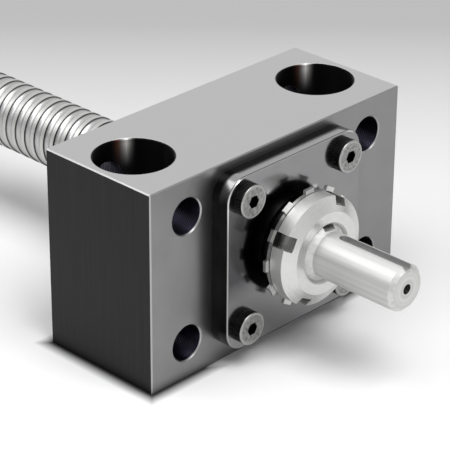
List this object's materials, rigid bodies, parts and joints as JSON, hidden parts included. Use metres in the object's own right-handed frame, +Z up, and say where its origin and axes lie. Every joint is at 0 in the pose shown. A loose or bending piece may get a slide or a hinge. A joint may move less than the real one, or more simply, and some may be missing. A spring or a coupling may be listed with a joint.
{
  "type": "ball screw end support block",
  "caption": "Rectangular steel bearing block carrying the driven end of a ball screw, with retainer plate, seals, paired ball bearings, slotted locknut and keyed shaft end.",
  "frame": {"origin": "centre of the block's underside, midway between the two base bolts", "axes": "+Z up, +Y along the screw axis from the driven end towards the thread, +X across the block"},
  "size_m": [0.118, 0.2132, 0.072],
  "materials": {
    "black_oxide_steel": "ground faces, satin black oxide",
    "black_oxide_plate": "milled, satin black oxide",
    "screw_steel": "black oxide sides, worn bright head faces",
    "seal_rubber": "matt nitrile rubber",
    "spring_steel": "bright drawn wire",
    "bearing_steel": "ground and honed",
    "ground_steel": "ground",
    "screw_shaft_steel": "ground, satin",
    "nut_steel": "turned, bright",
    "washer_steel": "pressed sheet",
    "ball_steel": "polished",
    "cage_polyamide": "moulded, natural"
  },
  "bodies": {
    "block": {"housing_block": "black_oxide_steel", "retainer_plate": "black_oxide_plate", "retainer_screws": "screw_steel", "front_seal": "seal_rubber", "front_garter_spring": "spring_steel", "rear_seal": "seal_rubber", "rear_garter_spring": "spring_steel", "front_bearing_outer_ring": "bearing_steel", "rear_bearing_outer_ring": "bearing_steel", "outer_spacer": "ground_steel"},
    "screw": {"ball_screw": "screw_shaft_steel", "locknut": "nut_steel", "lock_washer": "washer_steel", "front_collar": "ground_steel", "rear_collar": "ground_steel", "front_bearing_inner_ring": "bearing_steel", "rear_bearing_inner_ring": "bearing_steel", "inner_spacer": "ground_steel"},
    "front_ball_set": {"front_bearing_balls": "ball_steel", "front_bearing_cage": "cage_polyamide"},
    "rear_ball_set": {"rear_bearing_balls": "ball_steel", "rear_bearing_cage": "cage_polyamide"}
  },
  "joints": [
    {"name": "screw_spin", "type": "hinge", "parent": "block", "child": "screw", "pos_m": [0, 0, 0.0375], "axis": [0, 1, 0], "continuous": true},
    {"name": "front_ball_orbit", "type": "hinge", "parent": "block", "child": "front_ball_set", "pos_m": [0, 0, 0.0375], "axis": [0, 1, 0], "continuous": true},
    {"name": "rear_ball_orbit", "type": "hinge", "parent": "block", "child": "rear_ball_set", "pos_m": [0, 0, 0.0375], "axis": [0, 1, 0], "continuous": true}
  ],
  "couplings": [
    {"joint": "front_ball_orbit", "follows": "screw_spin", "ratio": 0.397},
    {"joint": "rear_ball_orbit", "follows": "screw_spin", "ratio": 0.397}
  ]
}
